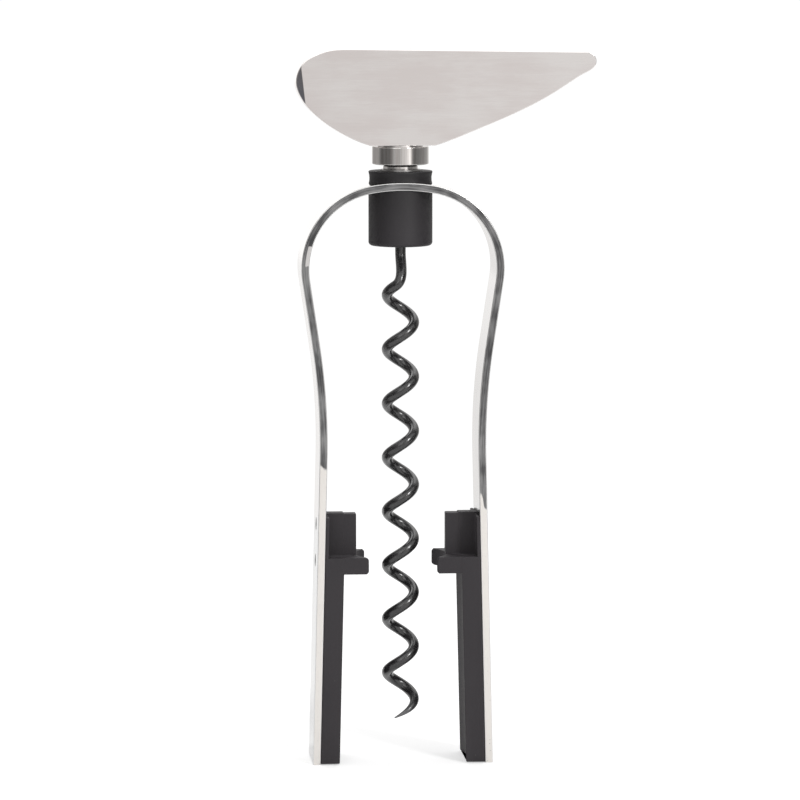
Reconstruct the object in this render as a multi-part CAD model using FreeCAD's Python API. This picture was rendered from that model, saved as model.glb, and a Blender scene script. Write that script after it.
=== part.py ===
"""Self-pulling corkscrew with a bent spring-strip frame.

A leaf-shaped steel handle turns a worm that can't move along its own axis. The worm is held in
a round plastic hub at the crown of a bent spring-steel strip, and two plastic jaws on the strip's
legs straddle the neck of the bottle. Millimetres. The origin is on the surface that the legs
stand on, below the worm; +Z is up the worm's axis, +X is along the handle's long wing, and the
strip is as wide along Y as its legs are deep.
"""
import FreeCAD, Part
import math
import os

Vec = FreeCAD.Vector
UP = Vec(0, 0, 1)

# Spring strip
strip_width = 18.0
strip_thickness = 2.1
strip_edge_chamfer = 0.3
frame_height = 158.0
crown_radius = 50.0
crown_half_angle = 9.7
shoulder_radius = 22.8
lean_in_angle = 8.6
lean_in_run = 17.4
waist_radius = 179.0
leg_flare_angle = 1.36

# Hub
hub_diameter = 17.3
hub_top_height = 2.8
hub_body_height = 15.3
hub_top_bevel = 0.4
hub_bottom_bevel = 0.6
hub_pocket_diameter = 12.8
hub_pocket_depth = 8.0

# Bearing: a flanged tube through the hub and the strip, with the spindle running in it
spindle_diameter = 6.0
bush_wall = 1.0
bush_flange_diameter = 10.8
bush_flange_thickness = 0.4
bush_tail = 3.0
nut_width_across_flats = 11.0
nut_height = 2.5
thrust_washer_diameter = 9.5
thrust_washer_thickness = 0.9
lower_washer_diameter = 9.6
lower_washer_thickness = 0.5
spindle_shoulder_diameter = 9.0
spindle_shoulder_height = 0.4
spindle_collar_seat_diameter = 8.0
spindle_stud_length = 14.0
spindle_tail = 3.8
ring_thickness = 0.7
ring_outer_diameter = 8.8
ring_groove_depth = 0.45
ring_mouth_angle = 70.0
collar_diameter = 15.4
collar_height = 4.85
collar_chamfer = 0.35

# Worm
wire_diameter = 2.9
worm_outer_diameter = 10.2
worm_pitch = 14.76
worm_bend_drop = 13.3
worm_tip_height = 11.9
worm_taper_turn = 0.42
worm_tip_diameter = 0.5
worm_tip_outset = 0.35
worm_taper_steps = 6
wire_sides = 10
bend_start_pull = 0.9
bend_end_pull = 1.5
bend_steps = 4
worm_shank_depth = 17.0
worm_bend_rise = 10.6
worm_bend_start_angle = 205.0
worm_span_angle = 180.0
pin_diameter = 1.5
pin_height_in_tail = 1.5
pin_end_inset = 0.15

# Handle
handle_thickness = 14.0
handle_edge_bevel = 1.0
handle_seat_width = 17.6
handle_boss_diameter = 12.4
handle_boss_height = 0.45
wing_reach = 52.3
nose_reach = 28.5
handle_height = 25.8
wing_drop = 0.9
wing_tip_radius = 1.9
wing_tip_arc_angle = 130.0
nose_height = 17.6
bore_end_room = 0.6

# Jaws
liner_thickness = 5.2
liner_hollow_depth = 1.0
liner_foot_gap = 0.3
liner_corner_round = 0.8
lip_underside_height = 52.1
lip_thickness = 4.5
cork_passage_diameter = 24.8
lip_corner_round = 0.5
back_plate_thickness = 0.9
back_plate_top_height = 67.6
rib_thickness = 4.0
rib_reach_diameter = 24.4
rib_top_height = 68.0
rib_step = 0.25
rib_step_length = 3.4

# Jaw screws
low_screw_above_lip_underside = 2.9
high_screw_below_plate_top = 2.6
screw_shank_diameter = 2.2
screw_head_diameter = 3.5
screw_length = 8.5

# Clearances
seat_gap = 0.02
running_gap = 0.05
end_play = 0.08
jaw_back_gap = 0.05
hole_gap = 0.15
merge_depth = 0.5

# Heights that follow from the sizes above
crown_underside = frame_height - strip_thickness
hub_top_level = frame_height + hub_top_height
hub_bottom_level = crown_underside - hub_body_height
bush_outer_diameter = spindle_diameter + 2 * running_gap + 2 * bush_wall
pocket_roof_level = hub_bottom_level + hub_pocket_depth
bush_bottom_level = pocket_roof_level - bush_tail
washer_bottom_level = hub_top_level + bush_flange_thickness
shoulder_bottom_level = washer_bottom_level + thrust_washer_thickness + end_play
collar_bottom_level = shoulder_bottom_level + spindle_shoulder_height
collar_top_level = collar_bottom_level + collar_height
handle_seat_level = collar_top_level + handle_boss_height
lower_washer_top = bush_bottom_level - end_play
ring_top = lower_washer_top - lower_washer_thickness
ring_bottom = ring_top - ring_thickness
spindle_bottom_level = ring_bottom - spindle_tail
helix_radius = (worm_outer_diameter - wire_diameter) / 2
worm_first_left_height = hub_bottom_level - worm_bend_drop
lip_top_height = lip_underside_height + lip_thickness
screw_heights = (lip_underside_height + low_screw_above_lip_underside,
                 back_plate_top_height - high_screw_below_plate_top)


def cylinder(diameter, bottom, top):
    """An upright cylinder on the worm's axis."""
    return Part.makeCylinder(diameter / 2, top - bottom, Vec(0, 0, bottom))


def tube(outer, inner, bottom, top):
    """An upright ring on the worm's axis, bored right through."""
    return cylinder(outer, bottom, top).cut(cylinder(inner, bottom - 1, top + 1))


def block(x0, x1, y0, y1, z0, z1):
    """A box between two corners, whichever way round they are given."""
    low = Vec(min(x0, x1), min(y0, y1), min(z0, z1))
    return Part.makeBox(abs(x1 - x0), abs(y1 - y0), abs(z1 - z0), low)


def prism_along_y(edges, width):
    """A closed outline in the XZ plane, drawn out evenly to both sides of that plane."""
    face = Part.Face(Part.Wire(edges))
    face.translate(Vec(0, -width / 2, 0))
    return face.extrude(Vec(0, width, 0))


def at_angle(radius, degrees_from_top):
    """The point of a circle in the XZ plane, counted from its top towards +X."""
    turn = math.radians(degrees_from_top)
    return Vec(radius * math.sin(turn), 0, radius * math.cos(turn))


def arc_about(centre, radius, start, end):
    """An arc of such a circle, between two angles from its top."""
    middle = (start + end) / 2
    points = [centre + at_angle(radius, angle) for angle in (start, middle, end)]
    return Part.Arc(*points).toShape()


def half_outline(inset):
    """The strip's face from the middle of the crown to the right foot, moved in by inset."""
    lean = 90 + lean_in_angle
    flare = 90 - leg_flare_angle
    crown_centre = Vec(0, 0, frame_height - crown_radius)
    shoulder_centre = crown_centre + at_angle(crown_radius - shoulder_radius, crown_half_angle)
    shoulder_end = shoulder_centre + at_angle(shoulder_radius - inset, lean)
    down_lean = at_angle(1, lean + 90)
    run_end = shoulder_end + down_lean * lean_in_run
    waist_centre = run_end + at_angle(waist_radius + inset, lean)
    waist_end = waist_centre - at_angle(waist_radius + inset, flare)
    down_leg = at_angle(1, flare + 90)
    foot = waist_end + down_leg * (waist_end.z / -down_leg.z)
    return [
        arc_about(crown_centre, crown_radius - inset, 0, crown_half_angle),
        arc_about(shoulder_centre, shoulder_radius - inset, crown_half_angle, lean),
        Part.makeLine(shoulder_end, run_end),
        arc_about(waist_centre, waist_radius + inset, lean + 180, flare + 180),
        Part.makeLine(waist_end, foot),
    ], foot


def mirrored(shape):
    """The shape on the other side of the YZ plane."""
    return shape.mirror(Vec(0, 0, 0), Vec(1, 0, 0))


def under_strip(inset, width):
    """Everything below the strip's face at that inset, down to the feet, as a solid."""
    edges, foot = half_outline(inset)
    left_edges = [mirrored(edge) for edge in edges]
    floor = Part.makeLine(foot, Vec(-foot.x, 0, 0))
    return prism_along_y(edges + left_edges + [floor], width)


def foot_position(inset):
    """How far from the worm's axis the strip's face meets the floor."""
    return half_outline(inset)[1].x


def leg_position(inset, height):
    """How far from the worm's axis the leg's straight stretch is at a height."""
    return foot_position(inset) - height * math.tan(math.radians(leg_flare_angle))


def leg_normal():
    """Square out of the right leg's outer face."""
    return at_angle(1, 90 - leg_flare_angle)


def screw_tool(diameter, start, end, height):
    """A cylinder along a right jaw screw's axis, by distances in from the leg's outer face."""
    face = Vec(leg_position(0, height), 0, height)
    inward = leg_normal() * -1
    return Part.makeCylinder(diameter / 2, end - start, face + inward * start, inward)


def screw_cone(head, shank, height):
    """The cone under a countersunk head that lies flush with the leg's outer face."""
    face = Vec(leg_position(0, height), 0, height)
    depth = (head - shank) / 2
    return Part.makeCone(head / 2, shank / 2, depth, face, leg_normal() * -1)


def break_long_edges(solid):
    """Takes the sharpness off the strip's four long corners, from foot to foot."""
    side = strip_width / 2
    long_edges = []
    for edge in solid.Edges:
        on_side = all(abs(abs(v.Point.y) - side) < 1e-6 for v in edge.Vertexes)
        same_side = edge.Vertexes[0].Point.y * edge.Vertexes[-1].Point.y > 0
        at_foot = all(abs(v.Point.z) < 1e-6 for v in edge.Vertexes)
        if on_side and same_side and not at_foot and edge.BoundBox.YLength < 1e-6:
            crosses = edge.Length < strip_thickness * 1.1
            if not crosses:
                long_edges.append(edge)
    return solid.makeChamfer(strip_edge_chamfer, long_edges)


def spring_strip():
    """The bent strip, with the hub's hole in the crown and two countersunk holes in each leg."""
    strip = under_strip(0, strip_width).cut(under_strip(strip_thickness, 2 * strip_width))
    strip = break_long_edges(strip)
    hole = cylinder(bush_outer_diameter + 2 * hole_gap, crown_underside - 5, frame_height + 5)
    strip = strip.cut(hole)
    for height in screw_heights:
        wide = screw_shank_diameter + 2 * hole_gap
        through = screw_tool(wide, -1, strip_thickness + 1, height)
        sink = screw_cone(screw_head_diameter + 2 * hole_gap, wide, height)
        for tool in (through, sink):
            strip = strip.cut(tool).cut(mirrored(tool))
    return strip


def hub_blank(bottom, top, low_bevel, high_bevel):
    """A round plastic block, with its lower or upper corner bevelled."""
    radius = hub_diameter / 2
    corners = [
        Vec(0, 0, bottom),
        Vec(radius - low_bevel, 0, bottom),
        Vec(radius, 0, bottom + low_bevel),
        Vec(radius, 0, top - high_bevel),
        Vec(radius - high_bevel, 0, top),
        Vec(0, 0, top),
        Vec(0, 0, bottom),
    ]
    outline = [corner for corner, after in zip(corners, corners[1:]) if corner != after]
    face = Part.Face(Part.makePolygon(outline + [outline[0]]))
    return face.revolve(Vec(0, 0, 0), UP, 360)


def bush_bore():
    """The hole that the bush takes through both halves of the hub."""
    wide = bush_outer_diameter + 2 * seat_gap
    return cylinder(wide, hub_bottom_level - 1, hub_top_level + 1)


def hub_top():
    """The plastic cap above the strip, its underside curved to the crown."""
    blank = hub_blank(frame_height - strip_thickness, hub_top_level, 0, hub_top_bevel)
    return blank.cut(under_strip(-seat_gap, 3 * strip_width)).cut(bush_bore())


def hub_body():
    """The plastic block below the strip, with a pocket for the nut and the ring in its underside."""
    blank = hub_blank(hub_bottom_level, frame_height, hub_bottom_bevel, 0)
    body = blank.common(under_strip(strip_thickness + seat_gap, 3 * strip_width))
    pocket = cylinder(hub_pocket_diameter, hub_bottom_level - 1, pocket_roof_level)
    return body.cut(pocket).cut(bush_bore())


def flanged_bush():
    """The steel tube that clamps the hub halves to the strip and carries the spindle."""
    body = cylinder(bush_outer_diameter, bush_bottom_level, hub_top_level)
    flange = cylinder(bush_flange_diameter, hub_top_level, washer_bottom_level)
    bore = cylinder(spindle_diameter + 2 * running_gap, bush_bottom_level - 1, washer_bottom_level + 1)
    return body.fuse(flange).removeSplitter().cut(bore)


def bush_nut():
    """The hexagon nut on the bush's tail, against the roof of the hub's pocket."""
    across_corners = nut_width_across_flats / math.cos(math.radians(30))
    corners = []
    for side in range(7):
        turn = math.radians(60 * side)
        x = across_corners / 2 * math.cos(turn)
        y = across_corners / 2 * math.sin(turn)
        corners.append(Vec(x, y, pocket_roof_level - nut_height))
    hexagon = Part.Face(Part.makePolygon(corners)).extrude(UP * nut_height)
    thread = cylinder(bush_outer_diameter + 2 * seat_gap, pocket_roof_level - nut_height - 1,
                      pocket_roof_level + 1)
    corner_cone = Part.makeCone(nut_width_across_flats / 2, nut_width_across_flats / 2 + nut_height,
                                nut_height, Vec(0, 0, pocket_roof_level - nut_height))
    return hexagon.common(corner_cone).cut(thread)


def thrust_washer():
    """The ring that the turning parts bear on, resting on the bush's flange."""
    bore = spindle_diameter + 2 * running_gap
    top = washer_bottom_level + thrust_washer_thickness
    return tube(thrust_washer_diameter, bore, washer_bottom_level, top)


def lower_washer():
    """The washer that pulls against the bush's lower end when the cork is drawn."""
    bore = spindle_diameter + 2 * running_gap
    return tube(lower_washer_diameter, bore, ring_top, lower_washer_top)


def spindle():
    """The stepped steel shaft: handle stud, collar seat, shoulder, journal, ring groove, tail."""
    journal = cylinder(spindle_diameter, spindle_bottom_level, shoulder_bottom_level)
    shoulder = cylinder(spindle_shoulder_diameter, shoulder_bottom_level, collar_bottom_level)
    seat = cylinder(spindle_collar_seat_diameter, collar_bottom_level, collar_top_level)
    stud_top = collar_top_level + spindle_stud_length
    stud = cylinder(spindle_diameter, collar_top_level, stud_top)
    shaft = journal.fuse([shoulder, seat, stud]).removeSplitter()
    groove_floor = spindle_diameter - 2 * ring_groove_depth
    groove = tube(2 * spindle_diameter, groove_floor, ring_bottom - seat_gap, ring_top + seat_gap)
    socket = cylinder(wire_diameter + 2 * seat_gap, spindle_bottom_level - 1,
                      spindle_bottom_level + worm_shank_depth + seat_gap)
    return shaft.cut(groove).cut(socket).cut(cross_pin(seat_gap))


def retaining_ring():
    """The open spring ring in the spindle's groove."""
    inner = spindle_diameter - 2 * ring_groove_depth + 2 * seat_gap
    ring = tube(ring_outer_diameter, inner, ring_bottom, ring_top)
    half = math.radians(ring_mouth_angle / 2)
    reach = ring_outer_diameter
    wedge_points = [
        Vec(0, 0, ring_bottom - 1),
        Vec(reach * math.cos(half), reach * math.sin(half), ring_bottom - 1),
        Vec(reach * math.cos(half), -reach * math.sin(half), ring_bottom - 1),
        Vec(0, 0, ring_bottom - 1),
    ]
    mouth = Part.Face(Part.makePolygon(wedge_points)).extrude(UP * (ring_thickness + 2))
    return ring.cut(mouth)


def collar():
    """The polished steel collar between the handle and the hub."""
    ring = tube(collar_diameter, spindle_collar_seat_diameter + 2 * seat_gap,
                collar_bottom_level, collar_top_level)
    rims = [edge for edge in ring.Edges
            if len(edge.Vertexes) == 1 and abs(edge.BoundBox.XLength - collar_diameter) < 0.01]
    return ring.makeChamfer(collar_chamfer, rims)


def cross_pin(extra=0.0):
    """The pin through the spindle's tail and the worm's shank."""
    level = spindle_bottom_level + pin_height_in_tail
    half = spindle_diameter / 2 - pin_end_inset
    if extra:
        half = spindle_diameter
    radius = pin_diameter / 2 + extra
    return Part.makeCylinder(radius, 2 * half, Vec(0, -half, level), Vec(0, 1, 0))


def helix_point(turn):
    """The worm's centreline by turning angle, and its direction, going up."""
    angle = math.radians(turn)
    rise = worm_pitch / (2 * math.pi)
    height = worm_first_left_height + rise * (angle - math.pi)
    point = Vec(helix_radius * math.cos(angle), helix_radius * math.sin(angle), height)
    along = Vec(-helix_radius * math.sin(angle), helix_radius * math.cos(angle), rise)
    return point, along.normalize()


def bend_point(share):
    """The easing from the helix on to the axis, as a smooth curve, and its direction."""
    start, start_along = helix_point(worm_bend_start_angle)
    end = Vec(0, 0, start.z + worm_bend_rise)
    pull_start = start_along * worm_bend_rise * bend_start_pull
    pull_end = UP * worm_bend_rise * bend_end_pull
    s = share
    point = (start * (2 * s**3 - 3 * s**2 + 1) + pull_start * (s**3 - 2 * s**2 + s)
             + end * (3 * s**2 - 2 * s**3) + pull_end * (s**3 - s**2))
    along = (start * (6 * s**2 - 6 * s) + pull_start * (3 * s**2 - 4 * s + 1)
             + end * (6 * s - 6 * s**2) + pull_end * (3 * s**2 - 2 * s))
    return point, along.normalize()


def arc_from(start, direction, end):
    """An arc that leaves start in a direction and reaches end."""
    chord = end - start
    across = direction - chord * (direction.dot(chord) / chord.dot(chord))
    angle = direction.getAngle(chord)
    if angle < 1e-4:
        return Part.makeLine(start, end)
    middle = (start + end) / 2 + across.normalize() * (chord.Length / 2 * math.tan(angle / 2))
    return Part.Arc(start, middle, end).toShape()


def biarc(start, along_start, end, along_end):
    """Two tangent arcs from one point and direction to another."""
    chord = end - start
    both = along_start + along_end
    spread = 2 * (1 - along_start.dot(along_end))
    reach = chord.dot(both)
    if spread < 1e-9:
        leg = chord.dot(chord) / (2 * reach)
    else:
        leg = (math.sqrt(reach**2 + spread * chord.dot(chord)) - reach) / spread
    joint = (start + along_start * leg + end - along_end * leg) / 2
    return [arc_from(start, along_start, joint), arc_from(end, along_end * -1, joint)]


def worm_turns():
    """The turning angles at the tip, where the taper begins, and where the bend begins."""
    first = 180 - (worm_first_left_height - worm_tip_height) / worm_pitch * 360
    return first, first + 360 * worm_taper_turn, worm_bend_start_angle


def worm_stations():
    """Points and directions down the worm, from its shank to where the taper begins."""
    tip_turn, taper_turn, bend_turn = worm_turns()
    shank_top = Vec(0, 0, spindle_bottom_level + worm_shank_depth)
    stations = [(shank_top, UP)]
    for step in range(bend_steps, 0, -1):
        stations.append(bend_point(step / bend_steps))
    spans = max(1, round((bend_turn - taper_turn) / worm_span_angle))
    for step in range(spans + 1):
        turn = bend_turn - (bend_turn - taper_turn) * step / spans
        stations.append(helix_point(turn))
    return stations


def wire_outline(point):
    """The wire's outline round an upright stretch, as a polygon of many sides."""
    corners = []
    for side in range(wire_sides + 1):
        turn = 2 * math.pi * side / wire_sides
        corners.append(point + Vec(math.cos(turn), math.sin(turn), 0) * (wire_diameter / 2))
    return Part.makePolygon(corners)


def worm_point(outline):
    """The tapered end of the wire, from its outline at the taper's start to a blunt point."""
    tip_turn, taper_turn, _ = worm_turns()
    centre, _ = helix_point(taper_turn)
    outward = Vec(centre.x, centre.y, 0).normalize()
    rise = worm_pitch / 360
    sections = [outline]
    for step in range(1, worm_taper_steps + 1):
        share = step / worm_taper_steps
        turn = (tip_turn - taper_turn) * share
        shrink = 1 - (1 - worm_tip_diameter / wire_diameter) * share**1.6
        section = outline.copy()
        section.scale(shrink, centre)
        section.translate(outward * (1 - shrink) * wire_diameter * worm_tip_outset)
        section.rotate(Vec(0, 0, 0), UP, turn)
        section.translate(UP * rise * turn)
        sections.append(section)
    return Part.makeLoft(sections, True, True)


def worm():
    """The wire worm: straight shank, easing bend, round turns and a tapered point."""
    stations = worm_stations()
    edges = []
    for (point, along), (after, after_along) in zip(stations, stations[1:]):
        if (after - point).cross(along).Length < 1e-6:
            edges.append(Part.makeLine(point, after))
        else:
            edges += biarc(point, along * -1, after, after_along * -1)
    path = Part.Wire(Part.__sortEdges__(edges))
    sweep = Part.BRepOffsetAPI.MakePipeShell(path)
    sweep.add(wire_outline(stations[0][0]))
    sweep.build()
    last_outline = sweep.lastShape().Wires[0]
    sweep.makeSolid()
    print("worm least gap to itself %.2f mm" % worm_self_gap(path))
    return sweep.shape().fuse(worm_point(last_outline)).cut(cross_pin(seat_gap))


def worm_self_gap(path):
    """The least distance between stretches of the wire that are over half a turn apart."""
    step = wire_diameter / 2
    points = path.discretize(Distance=step)
    apart = int(math.pi * helix_radius / step) + 1
    nearest = min((points[i] - points[j]).Length
                  for i in range(len(points)) for j in range(i + apart, len(points)))
    return nearest - wire_diameter


def smooth_arcs(points, start_along, end_along):
    """Tangent arcs through points in the XZ plane, with its two end directions."""
    directions = [start_along.normalize()]
    for before, point, after in zip(points, points[1:], points[2:]):
        come = point - before
        leave = after - point
        blend = come * (leave.Length / come.Length) + leave * (come.Length / leave.Length)
        directions.append(blend.normalize())
    directions.append(end_along.normalize())
    edges = []
    for i in range(len(points) - 1):
        edges += biarc(points[i], directions[i], points[i + 1], directions[i + 1])
    return edges


def handle_outline():
    """The leaf seen from the front: flat seat, long wing, rounded tip, straight top, round nose."""
    seat = handle_seat_width / 2
    level = handle_seat_level

    def at(x, z):
        return Vec(x, 0, level + z)

    wing = wing_reach - seat
    rise = handle_height - wing_drop
    tip_centre = at(wing_reach - wing_tip_radius, rise - wing_tip_radius)
    tip_top = tip_centre + at_angle(wing_tip_radius, 0)
    tip_low = tip_centre + at_angle(wing_tip_radius, wing_tip_arc_angle)
    under_wing = [
        at(seat, 0),
        at(seat + 0.274 * wing, 0.18 * rise),
        at(seat + 0.70 * wing, 0.526 * rise),
        at(seat + 0.90 * wing, 0.747 * rise),
        tip_low,
    ]
    back = nose_reach - seat
    nose = [
        at(-seat - 0.23 * back, handle_height),
        at(-seat - 0.67 * back, handle_height - 1.0),
        at(-seat - 0.914 * back, handle_height - 3.8),
        at(-nose_reach, nose_height),
        at(-seat - 0.883 * back, 0.642 * nose_height),
        at(-seat - 0.71 * back, 0.4375 * nose_height),
        at(-seat - 0.396 * back, 0.193 * nose_height),
        at(-seat, 0),
    ]
    edges = [Part.makeLine(at(-seat, 0), at(seat, 0)), Part.makeLine(tip_top, nose[0])]
    edges += smooth_arcs(under_wing, Vec(1, 0, 0.29), at_angle(-1, wing_tip_arc_angle + 90))
    edges.append(arc_about(tip_centre, wing_tip_radius, 0, wing_tip_arc_angle))
    edges += smooth_arcs(nose, nose[0] - tip_top, Vec(1, 0, -0.33))
    return edges


def handle():
    """The polished leaf-shaped handle with its blind bore and low boss."""
    edges = Part.__sortEdges__(handle_outline())
    slab = prism_along_y(edges, handle_thickness)
    side = handle_thickness / 2
    rims = [edge for edge in slab.Edges
            if all(abs(abs(v.Point.y) - side) < 1e-6 for v in edge.Vertexes)
            and edge.BoundBox.YLength < 1e-3]
    leaf = slab.makeChamfer(handle_edge_bevel, rims)
    boss = cylinder(handle_boss_diameter, collar_top_level, handle_seat_level + merge_depth)
    bore_top = collar_top_level + spindle_stud_length + bore_end_room
    bore = cylinder(spindle_diameter + 2 * seat_gap, collar_top_level - 1, bore_top)
    return leaf.fuse(boss).cut(bore)


def jaw_back():
    """The right jaw's side view: liner against the leg, then the thin plate above the lip."""
    face = strip_thickness + jaw_back_gap

    def on_leg(depth, height):
        return Vec(leg_position(face + depth, height), 0, height)

    corners = [
        on_leg(0, liner_foot_gap),
        on_leg(0, back_plate_top_height),
        on_leg(back_plate_thickness, back_plate_top_height),
        on_leg(back_plate_thickness, lip_top_height - merge_depth),
        on_leg(liner_thickness, lip_top_height - merge_depth),
        on_leg(liner_thickness, liner_foot_gap),
    ]
    sides = [Part.makeLine(a, b) for a, b in zip(corners, corners[1:] + corners[:1])]
    return prism_along_y(sides, strip_width)


def leg_side_room():
    """Everything inside the right leg's inner face, so that what is cut by it ends there."""
    return under_strip(strip_thickness + jaw_back_gap, 2 * strip_width)


def lip():
    """The stop lip: two fingers round the cork's way, as a flat ring segment."""
    blank = block(0, foot_position(0), -strip_width / 2, strip_width / 2,
                  lip_underside_height, lip_top_height)
    passage = cylinder(cork_passage_diameter, lip_underside_height - 1, lip_top_height + 1)
    return blank.common(leg_side_room()).cut(passage)


def rib():
    """The upright rib on the lip, stepped down a little towards the worm."""
    inner = rib_reach_diameter / 2
    half = rib_thickness / 2
    tall = block(inner + rib_step_length, foot_position(0), -half, half,
                 lip_top_height - merge_depth, rib_top_height)
    low = block(inner, inner + rib_step_length + merge_depth, -half, half,
                lip_top_height - merge_depth, rib_top_height - rib_step)
    return tall.fuse(low).common(leg_side_room())


def liner_hollow():
    """The shallow upright hollow in the liner's inner face, which centres it on the bottle."""
    half = strip_width / 2
    radius = (half**2 + liner_hollow_depth**2) / (2 * liner_hollow_depth)
    depth = strip_thickness + jaw_back_gap + liner_thickness
    foot = foot_position(depth)
    down = 5.0
    lean = math.tan(math.radians(leg_flare_angle))
    centre = Vec(foot + liner_hollow_depth - radius + down * lean, 0, -down)
    top_at = lip_underside_height
    along = at_angle(1, -leg_flare_angle)
    tool = Part.makeCylinder(radius, lip_underside_height + 2 * down, centre, along)
    return tool.common(block(0, foot + strip_width, -strip_width, strip_width, -down, top_at))


def right_jaw():
    """One plastic jaw: liner, back plate, lip and rib in one moulding, with two pilot holes."""
    jaw = jaw_back().cut(liner_hollow()).fuse([lip(), rib()]).removeSplitter()
    jaw = round_jaw(jaw)
    for height in screw_heights:
        jaw = jaw.cut(screw_tool(screw_shank_diameter + 2 * seat_gap, 0,
                                 screw_length + seat_gap, height))
    return jaw


def round_jaw(jaw):
    """Rounds the fingers' tips and the liner's bottom corners."""
    side = strip_width / 2
    passage = cork_passage_diameter / 2
    finger_x = math.sqrt(passage**2 - side**2)
    tips = []
    bottoms = []
    for edge in jaw.Edges:
        box = edge.BoundBox
        upright = box.XLength < 1e-3 and box.YLength < 1e-3
        if upright and abs(box.XMin - finger_x) < 0.05 and box.ZMin > lip_underside_height - 0.1:
            tips.append(edge)
        flat = box.ZLength < 1e-3 and abs(box.ZMin - liner_foot_gap) < 1e-3
        if flat and abs(abs(box.YMin) - side) < 1e-3 and box.YLength < 1e-3:
            bottoms.append(edge)
    jaw = jaw.makeFillet(lip_corner_round, tips)
    return jaw.makeFillet(liner_corner_round, matching(jaw, bottoms))


def matching(solid, edges):
    """The solid's edges that have the same middle as the given ones."""
    middles = [edge.CenterOfMass for edge in edges]
    return [edge for edge in solid.Edges
            if any((edge.CenterOfMass - middle).Length < 1e-3 for middle in middles)]


def right_jaw_screws():
    """The right jaw's two countersunk screws, as separate solids in one group."""
    screws = []
    for height in screw_heights:
        shank = screw_tool(screw_shank_diameter, 0, screw_length, height)
        head = screw_cone(screw_head_diameter, screw_shank_diameter, height)
        screws.append(shank.fuse(head).removeSplitter())
    return Part.makeCompound(screws)


def all_parts():
    """Every sub-part by name."""
    jaw = right_jaw()
    screws = right_jaw_screws()
    return {
        "spring_strip": spring_strip(),
        "hub_top": hub_top(),
        "hub_body": hub_body(),
        "flanged_bush": flanged_bush(),
        "bush_nut": bush_nut(),
        "thrust_washer": thrust_washer(),
        "lower_washer": lower_washer(),
        "retaining_ring": retaining_ring(),
        "spindle": spindle(),
        "collar": collar(),
        "handle": handle(),
        "worm": worm(),
        "worm_pin": cross_pin(),
        "right_jaw": jaw,
        "right_jaw_screws": screws,
        "left_jaw": mirrored(jaw),
        "left_jaw_screws": mirrored(screws),
    }


def main():
    os.makedirs("parts", exist_ok=True)
    for name, shape in all_parts().items():
        if not shape.isValid():
            raise ValueError(name + " is not a valid solid")
        print(name, len(shape.Solids), "solids, volume %.1f" % shape.Volume)
        shape.exportStep(os.path.join("parts", name + ".step"))


main()
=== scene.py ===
"""Looks of the self-pulling corkscrew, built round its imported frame.

Lengths are written in millimetres and turned into metres by MM where a mesh is made. +Z is up the
worm's axis, +X is along the handle's long wing, and the photograph's camera looks along +Y.
"""

import math

import bmesh
import bpy
from mathutils import Matrix, Vector


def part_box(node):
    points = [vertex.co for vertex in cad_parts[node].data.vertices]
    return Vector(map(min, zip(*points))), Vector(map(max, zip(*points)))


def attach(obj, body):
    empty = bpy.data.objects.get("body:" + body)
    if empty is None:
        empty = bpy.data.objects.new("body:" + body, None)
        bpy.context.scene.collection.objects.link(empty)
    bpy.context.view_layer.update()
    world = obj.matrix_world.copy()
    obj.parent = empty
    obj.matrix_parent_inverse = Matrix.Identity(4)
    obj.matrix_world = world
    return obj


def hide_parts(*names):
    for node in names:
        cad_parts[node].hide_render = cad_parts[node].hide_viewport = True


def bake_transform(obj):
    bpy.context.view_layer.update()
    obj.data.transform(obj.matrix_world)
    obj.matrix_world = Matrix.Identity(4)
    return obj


MM = 0.001

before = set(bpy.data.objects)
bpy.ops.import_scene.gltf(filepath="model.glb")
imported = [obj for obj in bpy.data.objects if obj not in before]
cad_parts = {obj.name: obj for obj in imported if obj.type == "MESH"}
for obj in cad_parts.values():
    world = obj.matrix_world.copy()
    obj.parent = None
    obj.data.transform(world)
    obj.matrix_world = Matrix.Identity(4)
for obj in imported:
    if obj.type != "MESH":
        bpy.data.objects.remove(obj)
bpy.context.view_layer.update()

# Spring strip
STRIP_WIDTH = 18.0
STRIP_THICKNESS = 2.1
STRIP_CORNER_ROUND = 0.28
STRIP_FOOT_ROUND = 0.18
FRAME_HEIGHT = 158.0
CROWN_RADIUS = 50.0
CROWN_HALF_ANGLE = 9.7
SHOULDER_RADIUS = 22.8
LEAN_IN_ANGLE = 8.6
LEAN_IN_RUN = 17.4
WAIST_RADIUS = 179.0
LEG_FLARE_ANGLE = 1.36
LEG_FACES = (21.1, 23.2)
GROUND_TOP_LEFT = (80.9, 82.7)
GROUND_TOP_RIGHT = (73.5, 69.6)
GROUND_TOP_CURVE = 3.0
EDGE_BLEND = (0.020, 0.004)
SATIN_WOBBLE = 1.4
SATIN_FADE = (0.2, 1.2)
# A painted highlight on the inner half of the left shoulder's front edge: its heights, fade and place
# across.
PAINTED_HIGHLIGHT_HEIGHTS = (136.3, 141.9)
PAINTED_HIGHLIGHT_FADE = 0.4
PAINTED_HIGHLIGHT_ACROSS = ((18.95, 19.15), (20.35, 20.2))
INNER_FACE_START = (20.1, 20.3)
INNER_FACE_END = (37.9, 37.7)
PITTED_HEIGHTS = (32, 12)

# Worm
WIRE_DIAMETER = 2.9
WORM_OUTER_DIAMETER = 10.2
WORM_PITCH = 14.76
WORM_FIRST_LEFT_HEIGHT = 127.3
WORM_TIP_HEIGHT = 11.9
WORM_TAPER_TURN = 0.42
WORM_TIP_DIAMETER = 0.35
WORM_BEND_TOP = 138.9
WORM_BEND_START_ANGLE = 245.0
WORM_TIP_OUTSET = 0.35
WORM_SHANK_TOP = 148.0
WORM_RING_ANGLE = 9.0
WORM_BEND_RINGS = 24
WORM_SIDES = 24

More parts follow.
